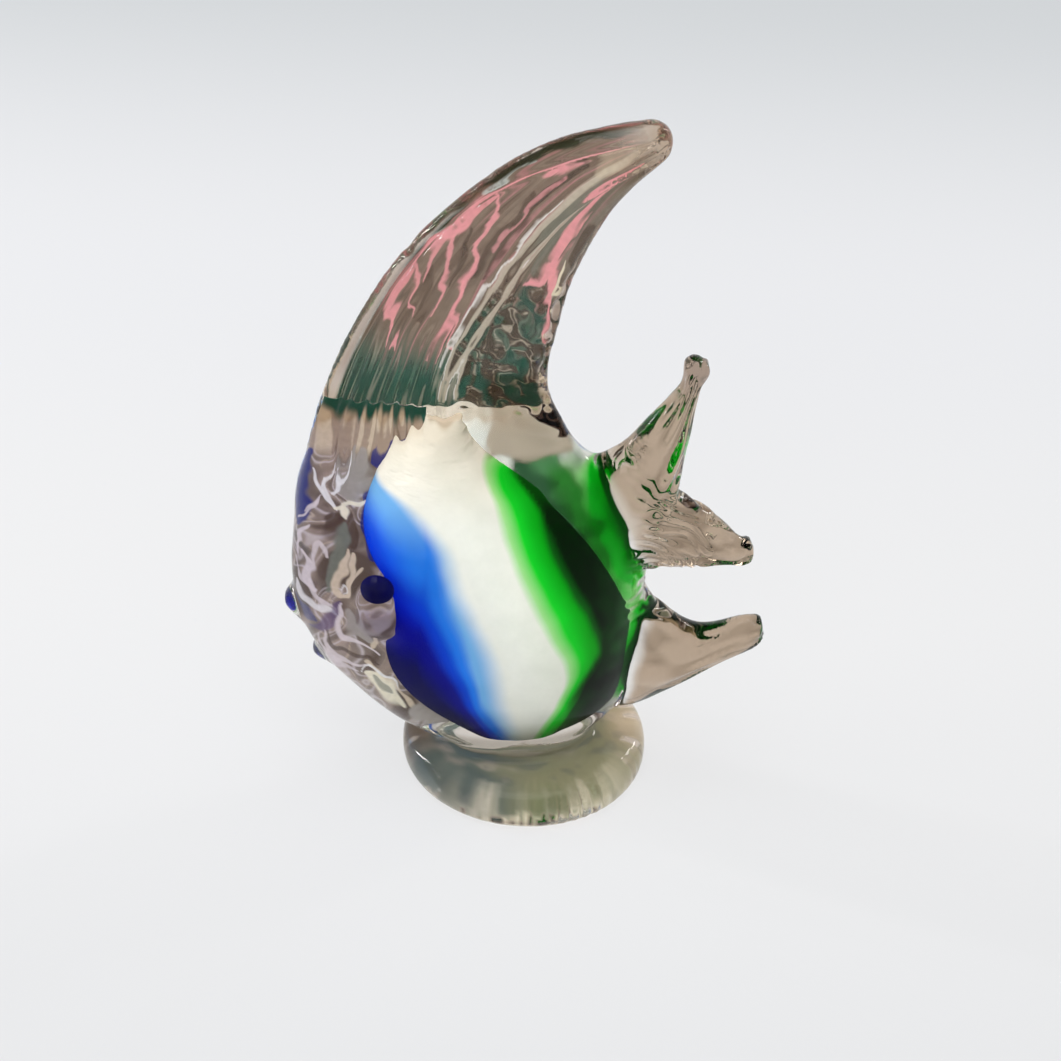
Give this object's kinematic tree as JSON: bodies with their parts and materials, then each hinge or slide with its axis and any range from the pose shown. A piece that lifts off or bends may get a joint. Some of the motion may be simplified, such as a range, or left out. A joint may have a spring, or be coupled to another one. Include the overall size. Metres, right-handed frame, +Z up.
{
  "type": "fish figurine",
  "caption": "Solid glass angelfish on a round clear foot: coloured core in a clear casing, with a tall fluted dorsal fin, forked tail and anal fin.",
  "frame": {"origin": "centre of the foot's flat underside", "axes": "+Z up through the foot; the fish faces -X, its sides face -Y and +Y"},
  "size_m": [0.1183, 0.062, 0.1697],
  "materials": {
    "opal_white_glass": "opal, fire polished",
    "blue_glass": "transparent blue over white",
    "green_glass": "transparent green over white",
    "clear_glass": "clear, fire polished",
    "fin_glass": "clear with a warm taupe tint, fire polished",
    "smoke_glass": "grey brown swirls in clear glass",
    "threaded_glass": "pink and teal threads in brown glass",
    "navy_glass": "dark blue, glossy",
    "foot_glass": "clear with a green cast, ground flat below"
  },
  "bodies": {
    "root": {"white_core": "opal_white_glass", "blue_overlay": "blue_glass", "green_overlay": "green_glass", "clear_casing": "clear_glass", "face_veil": "smoke_glass", "dorsal_fin": "fin_glass", "dorsal_veil": "threaded_glass", "tail_fin": "fin_glass", "anal_fin": "fin_glass", "upper_lip": "clear_glass", "lower_lip": "clear_glass", "left_pupil": "navy_glass", "right_pupil": "navy_glass", "left_eye_drop": "clear_glass", "right_eye_drop": "clear_glass", "foot_collar": "clear_glass", "foot_disc": "foot_glass"}
  },
  "joints": []
}
